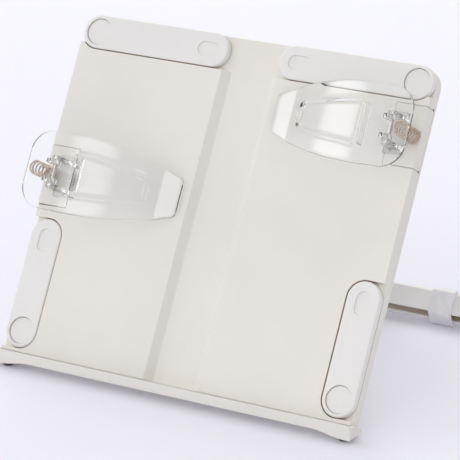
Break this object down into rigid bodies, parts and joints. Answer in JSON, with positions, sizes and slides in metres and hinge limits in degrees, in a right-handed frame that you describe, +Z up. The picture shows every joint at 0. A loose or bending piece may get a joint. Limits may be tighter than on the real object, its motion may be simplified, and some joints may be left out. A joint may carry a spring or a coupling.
{
  "type": "portable drawing board",
  "caption": "Leaning page board with bottom ledge, swing-out page arms, sprung clear clips on side slides and a folding T-shaped rear leg.",
  "frame": {"origin": "middle of the footprint, on the surface that the board stands on", "axes": "+X across the board to the user's right, -Y towards the user, +Z up"},
  "size_m": [0.235, 0.1996, 0.1882],
  "materials": {
    "shell_plastic": "fine moulded texture, ivory",
    "cover_plastic": "moulded, ivory",
    "arm_plastic": "satin, cool off-white",
    "carriage_plastic": "moulded, ivory",
    "clear_plastic": "clear moulded polycarbonate, polished",
    "pin_steel": "turned",
    "spring_steel": "copper-toned spring wire",
    "screw_steel": "zinc plated",
    "foot_rubber": "matt, dark brown-grey",
    "leg_plastic": "light grey, moulded",
    "sleeve_vinyl": "soft translucent white"
  },
  "bodies": {
    "board": {"front_shell": "shell_plastic", "rear_cover": "cover_plastic", "cover_screws": "screw_steel", "bottom_ledge": "shell_plastic", "left_front_foot": "foot_rubber", "right_front_foot": "foot_rubber", "arm_pivots": "arm_plastic", "pivot_washers": "screw_steel", "left_hinge_bracket": "cover_plastic", "right_hinge_bracket": "cover_plastic", "bracket_screws": "screw_steel", "leg_hinge_pin": "pin_steel"},
    "top_left_arm": {"top_left_arm": "arm_plastic"},
    "top_right_arm": {"top_right_arm": "arm_plastic"},
    "lower_left_arm": {"lower_left_arm": "arm_plastic"},
    "lower_right_arm": {"lower_right_arm": "arm_plastic"},
    "left_slide": {"left_carriage": "carriage_plastic", "left_clip_base": "clear_plastic", "left_clip_screws": "screw_steel", "left_hinge_pin": "pin_steel", "left_spring": "spring_steel"},
    "right_slide": {"right_carriage": "carriage_plastic", "right_clip_base": "clear_plastic", "right_clip_screws": "screw_steel", "right_hinge_pin": "pin_steel", "right_spring": "spring_steel"},
    "left_paddle": {"left_paddle": "clear_plastic"},
    "right_paddle": {"right_paddle": "clear_plastic"},
    "rear_leg": {"prop_leg": "leg_plastic", "foot_bar": "leg_plastic", "foot_bar_screws": "screw_steel", "left_foot_sleeve": "sleeve_vinyl", "right_foot_sleeve": "sleeve_vinyl"}
  },
  "joints": [
    {"name": "top_left_arm_swing", "type": "hinge", "parent": "board", "child": "top_left_arm", "pos_m": [-0.1045, 0.00514, 0.17874], "axis": [0, -0.866, 0.5], "range_deg": [0, 145]},
    {"name": "top_right_arm_swing", "type": "hinge", "parent": "board", "child": "top_right_arm", "pos_m": [0.1045, 0.00514, 0.17874], "axis": [0, -0.866, 0.5], "range_deg": [-145, 0]},
    {"name": "lower_left_arm_swing", "type": "hinge", "parent": "board", "child": "lower_left_arm", "pos_m": [-0.1045, -0.08651, 0.02], "axis": [0, -0.866, 0.5], "range_deg": [0, 90]},
    {"name": "lower_right_arm_swing", "type": "hinge", "parent": "board", "child": "lower_right_arm", "pos_m": [0.1045, -0.08651, 0.02], "axis": [0, -0.866, 0.5], "range_deg": [-90, 0]},
    {"name": "left_carriage_slide", "type": "slide", "parent": "board", "child": "left_slide", "axis": [-1, 0, 0], "range_m": [0, 0.012]},
    {"name": "left_clip_open", "type": "hinge", "parent": "left_slide", "child": "left_paddle", "pos_m": [-0.1017, -0.0527, 0.10856], "axis": [0, -0.5, -0.866], "range_deg": [0, 22], "stiffness_Nm_per_rad": 0.35, "springref_deg": -20.05, "deforming": ["left_spring"]},
    {"name": "right_carriage_slide", "type": "slide", "parent": "board", "child": "right_slide", "axis": [1, 0, 0], "range_m": [0, 0.012]},
    {"name": "right_clip_open", "type": "hinge", "parent": "right_slide", "child": "right_paddle", "pos_m": [0.1017, -0.02335, 0.15939], "axis": [0, 0.5, 0.866], "range_deg": [0, 22], "stiffness_Nm_per_rad": 0.35, "springref_deg": -20.05, "deforming": ["right_spring"]},
    {"name": "rear_leg_fold", "type": "hinge", "parent": "board", "child": "rear_leg", "pos_m": [0, 0.0077, 0.15417], "axis": [1, 0, 0], "range_deg": [-58.35, 0]}
  ]
}
